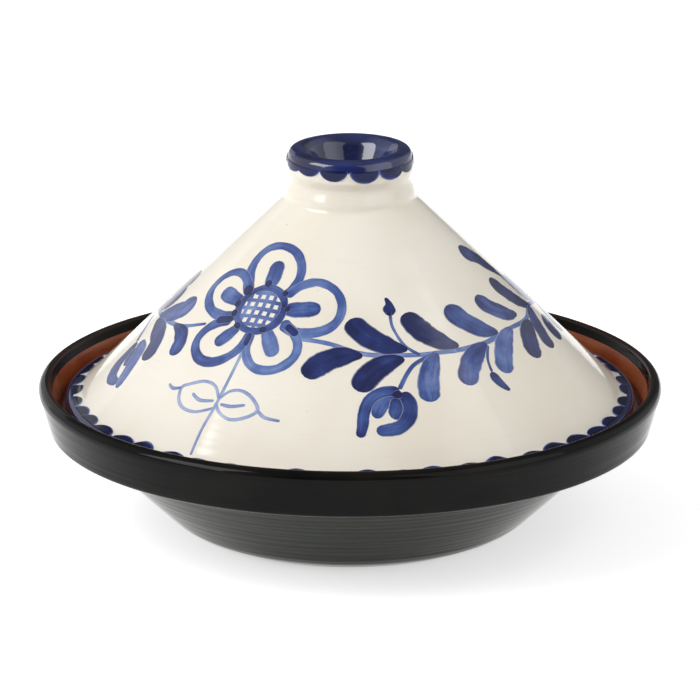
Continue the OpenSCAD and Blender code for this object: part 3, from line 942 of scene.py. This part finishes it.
dabbed_cobalt, tree, shader, marks = finish(
    "dabbed cobalt", ring_pitch=0.0045, wander=1.6, cloud_size=0.008, speck_size=0.0006,
    speck_share=0.06, seed=33.8)
uneven = spread(marks["Clouds"], 0.3, 0.7, -0.07, 0.07)
edge = plus(calc("ABSOLUTE", held(tree, "across")), uneven)
thick_blue = tint(held(tree, "tone"), thick_dark, thick_light)
clear_blue = tint(held(tree, "tone"), clear_dark, clear_light)
middle = tint(spread(marks["Clouds"], 0.35, 0.7), thick_blue, clear_blue)
middle = tint(spread(edge, 0.84, 0.95), middle, thinned_blue)
fired(shader, colour=tint(spread(edge, 0.95, 1.03, 0.0, 0.45), middle, bled_grey),
      roughness=spread(marks["Clouds"], 0.3, 0.7, 0.05, 0.10),
      height=marks["Rings"], depth=0.00010, specular=0.25)

for name, second, settings in (
        ("lip_dabs", "edge_blue_coat", dict(
            count=50, start=0.0, radius=0.1338, height=0.066, width=0.0158, depth=0.0046,
            upright=0.0, uneven=0.30, tone=0.10, seed=3)),
        ("knob_scallops", "knob_blue_coat", dict(
            count=13, start=0.136, radius=0.0303, height=0.1827, width=0.0150, depth=0.0049,
            upright=1.0, uneven=0.30, tone=0.85, seed=8))):
    dabs = made(name, dabbed, dab_mesh(), surface=ivory_coat, second_surface=bpy.data.objects[second],
                material=dabbed_cobalt, **settings)
    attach(dabs, "lid")

# ---- The studio ----
# A white table that runs on out of sight, soft lamps to the left and right and a faint
# one behind, under a pale ceiling with pale side walls. None of it is part of the pot.


def put(name, data, place=(0, 0, 0), target=None):
    """Puts a thing of the studio in the scene, aimed at a target where it has one."""
    thing = bpy.data.objects.new(name, data)
    thing.location = place
    if target:
        thing.rotation_euler = (Vector(target) - thing.location).to_track_quat("-Z", "Y").to_euler()
    bpy.context.scene.collection.objects.link(thing)
    return thing


room = bpy.data.worlds.new("white room")
room.use_nodes = True
bpy.context.scene.world = room
tree = room.node_tree
tree.nodes.clear()
aside, _, upward = parts(add(tree, "ShaderNodeTexCoord").outputs["Generated"])
ceiling = spread(upward, 0.45, 0.95, 0.12, 0.38)
walls = spread(calc("ABSOLUTE", aside), 0.28, 0.85, 0.0, 0.82)
lit = add(tree, "ShaderNodeBackground", {"Color": (1, 1, 1, 1), "Strength": plus(ceiling, walls)})
add(tree, "ShaderNodeOutputWorld", {"Surface": lit.outputs[0]})

reach = 12.0             # metres from the pot to the table's edge
table = bpy.data.meshes.new("table_top")
table.from_pydata([(-reach, -reach, 0), (reach, -reach, 0), (reach, reach, 0), (-reach, reach, 0)],
                  [], [(0, 1, 2, 3)])
pale = bpy.data.materials.new("white table")
pale.use_nodes = True
tree = pale.node_tree
glow = 0.58              # tops the lit table up to white, where it is seen or mirrored
path = add(tree, "ShaderNodeLightPath").outputs
seen = calc("MAXIMUM", calc("MAXIMUM", path["Is Camera Ray"], path["Is Glossy Ray"]),
            path["Is Transmission Ray"])
for name, value in (("Base Color", (0.86, 0.86, 0.86, 1)), ("Roughness", 0.9), ("Specular IOR Level", 0.0),
                    ("Emission Color", (1, 1, 1, 1)),
                    ("Emission Strength", spread(seen, 0.0, 1.0, 0.0, glow))):
    feed(tree.nodes["Principled BSDF"].inputs[name], value)
table.materials.append(pale)
floor = put("table_top", table)

for name, place, size, power in (
        ("lamp_left", (-2.15, -0.98, 1.88), 1.75, 58.5), ("lamp_right", (2.05, -1.35, 1.7), 3.0, 29.5),
        ("lamp_behind", (-1.3, 2.5, 0.75), 1.4, 3)):
    lamp = bpy.data.lights.new(name, "AREA")
    lamp.shape = "SQUARE"
    lamp.size = size
    lamp.energy = power
    put(name, lamp, place, target=(0, 0, 0.1))

lens = bpy.data.cameras.new("camera")
lens.lens = 342.0
lens.clip_end = 100
bpy.context.scene.camera = put("camera", lens, (0, -3.0576, 1.0245), target=(0, 0, 0.0856))
bpy.context.scene.view_settings.view_transform = "Standard"
